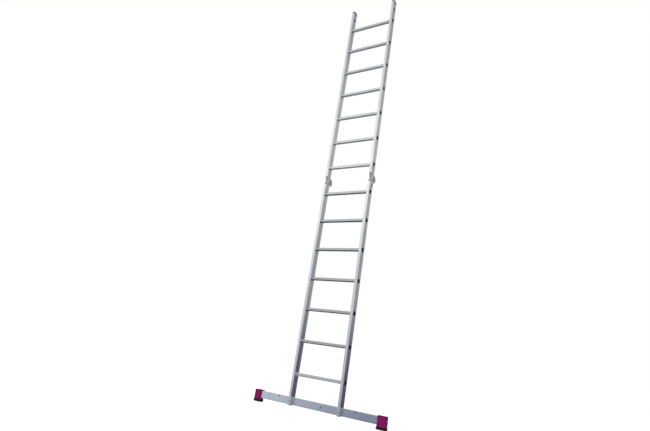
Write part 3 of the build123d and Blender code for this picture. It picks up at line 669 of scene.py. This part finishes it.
for side in ("left", "right"):
    low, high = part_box(f"{side}_lock_spring")
    middle = (low + high) / 2
    sizes = {
        "turns": SPRING_TURNS,
        "radius": SPRING_RADIUS,
        "wire radius": WIRE_RADIUS,
        "length": high.z - low.z - WIRE_RADIUS * 2,
        "seat X": middle.x,
        "seat Y": middle.y,
        "seat Z": low.z + WIRE_RADIUS,
    }
    coil = shaped(f"{side}_wound_spring", wire_steel, sizes, spring)
    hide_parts(f"{side}_lock_spring")
    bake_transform(coil)

# Top plugs
# Black stoppers moulded in polypropylene, driven into the tops of the upper stiles.
# The mould left a fine grain, and the edge of the rim is scuffed where it has leant on walls.
PLUG_DARK = (0.010, 0.010, 0.011, 1.0)
PLUG_LIGHT = (0.020, 0.020, 0.022, 1.0)
PLUG_SCUFF = (0.075, 0.074, 0.073, 1.0)
SCUFF_DEPTH = 0.003
plug_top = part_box("left_top_plug")[1].z
plug_plastic, surface, place = new_finish("plug_plastic")
flow = mottle(place, 40.0, 4.0)
scuff = axes(place)[2].ramp(plug_top - SCUFF_DEPTH, plug_top) * flow.ramp(0.50, 0.66)
scuff.tint(flow.ramp(0.30, 0.70).tint(PLUG_DARK, PLUG_LIGHT), PLUG_SCUFF).feed(surface, "Base Color")
(0.46 + 0.18 * flow + 0.10 * scuff).feed(surface, "Roughness")
emboss(surface, mottle(place, 1400.0, 2.0), 0.2, 0.0003)
surface.inputs["Specular IOR Level"].default_value = 0.2
dress(plug_plastic, "left_top_plug", "right_top_plug")

# Stabiliser bar
# A box-section aluminium extrusion across the foot of the ladder, let into the rear of both stiles.
# It is mill finished: die lines run along it, with cloudy patches. Shade is painted on it, darker and bluer
# towards its right end, and on the inside faces of the tube.
BAR_DULL = (0.80, 0.83, 0.88, 1.0)
BAR_BRIGHT = (0.93, 0.95, 0.99, 1.0)
# Painted shade, darker and bluer, growing towards the bar's right end.
BAR_RIGHT_SHADE = (0.46, 0.50, 0.61, 1.0)
RIGHT_SHADE_SHARE = 0.82
BAR_SKIN = (0.0010, 0.0016)
bar_low, bar_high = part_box("base_bar")
bar_middle = (bar_low + bar_high) / 2
bar_half = (bar_high - bar_low) / 2
finish = drawn_aluminium("bar_aluminium", ALONG_X, BAR_DULL, BAR_BRIGHT, 0.24)
bar_metal, surface, place, _, colour, roughness = finish
x, y, z = axes(place)
under_skin = (bar_half.y - abs(y - bar_middle.y)).least(bar_half.z - abs(z - bar_middle.z))
# Inside faces of the tube, which are painted in shade.
inside = under_skin.ramp(*BAR_SKIN)
# Painted shade towards the right end.
right_end_shade = x.ramp(-bar_half.x, bar_half.x) * RIGHT_SHADE_SHARE
inside.tint(right_end_shade.tint(colour, BAR_RIGHT_SHADE), TUBE_SHADE).feed(surface, "Base Color")
(roughness + inside * 0.45).feed(surface, "Roughness")
dress(bar_metal, "base_bar")

# Bar bolts, spacers and sleeve nuts
# Steel socket-headed bolts, one through each stile and the bar into a sleeve nut behind.
# Their zinc has gone dull; an aluminium tube on each keeps the stile's walls from being drawn together.
DULL_DARK = (0.58, 0.60, 0.65, 1.0)
DULL_LIGHT = (0.70, 0.72, 0.77, 1.0)
dull_zinc, surface, place = new_finish("dull_zinc")
bloomed = mottle(place, 300.0, 4.0)
bloomed.ramp(0.30, 0.70).tint(DULL_DARK, DULL_LIGHT).feed(surface, "Base Color")
(0.50 + 0.15 * bloomed).feed(surface, "Roughness")
surface.inputs["Metallic"].default_value = 1.0
dress(dull_zinc, "bar_bolts", "bar_sleeve_nuts")
dress(sawn_metal, "bar_bolt_spacers")

# End caps
# One-piece polypropylene mouldings pushed over the bar's ends, deep magenta right through.
# The mould left a fine grain; shade is painted on the rounded top and side edges, and all of the left cap
# is a little darker.
CAP_DEEP = (0.200, 0.0030, 0.103, 1.0)
CAP_FULL = (0.232, 0.0042, 0.120, 1.0)
# Painted shade on the rounded top and side edges; the same tone darkens all of the left cap a little.
CAP_DARKENED = (0.105, 0.0030, 0.062, 1.0)
CAP_EDGE = (0.012, 0.002)
LEFT_OF_MIDDLE = (0.1, -0.1)
LEFT_CAP_DARKENING = 0.30
cap_low, cap_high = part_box("right_bar_cap")
cap_middle = (cap_low + cap_high) / 2
cap_half = (cap_high - cap_low) / 2
cap_plastic, surface, place = new_finish("cap_plastic")
flow = mottle(place, 30.0, 4.0)
x, y, z = axes(place)
from_end = cap_half.x - abs(abs(x) - cap_middle.x)
from_face = cap_half.y - abs(y - cap_middle.y)
from_top = cap_high.z - z
from_edge = from_end.least(from_face).most(from_end.most(from_face).least(from_top))
# Painted shade along the rounded edges, then the left cap a little darker all over.
darkening = from_edge.ramp(*CAP_EDGE) * (0.6 + 0.4 * flow)
darkening = darkening.most(x.ramp(*LEFT_OF_MIDDLE) * LEFT_CAP_DARKENING)
darkening.tint(flow.ramp(0.30, 0.70).tint(CAP_DEEP, CAP_FULL), CAP_DARKENED).feed(surface, "Base Color")
(0.48 + 0.18 * flow + 0.10 * darkening).feed(surface, "Roughness")
emboss(surface, mottle(place, 1800.0, 2.0), 0.25, 0.0003)
surface.inputs["Specular IOR Level"].default_value = 0.12
dress(cap_plastic, "left_bar_cap", "right_bar_cap")

# Feet
# Black rubber blocks under the caps, moulded with a peg that fills the cap's pocket from below.
# The rubber is matt and pebbled, and floor dust greys it near the sole.
RUBBER = (0.0075, 0.0045, 0.0062, 1.0)
DUST = (0.016, 0.012, 0.013, 1.0)
DUST_HEIGHT = 0.010
foot_rubber, surface, place = new_finish("foot_rubber")
dusting = mottle(place, 60.0, 5.0)
low_down = axes(place)[2].ramp(DUST_HEIGHT, 0.0)
(low_down * dusting.ramp(0.40, 0.70)).tint(RUBBER, DUST).feed(surface, "Base Color")
(0.62 + 0.25 * dusting).feed(surface, "Roughness")
pebble = place.node("ShaderNodeTexVoronoi", {}, {"Vector": place, "Scale": 900.0})
emboss(surface, pebble, 0.3, 0.0004)
surface.inputs["Specular IOR Level"].default_value = 0.25
dress(foot_rubber, "left_foot", "right_foot")
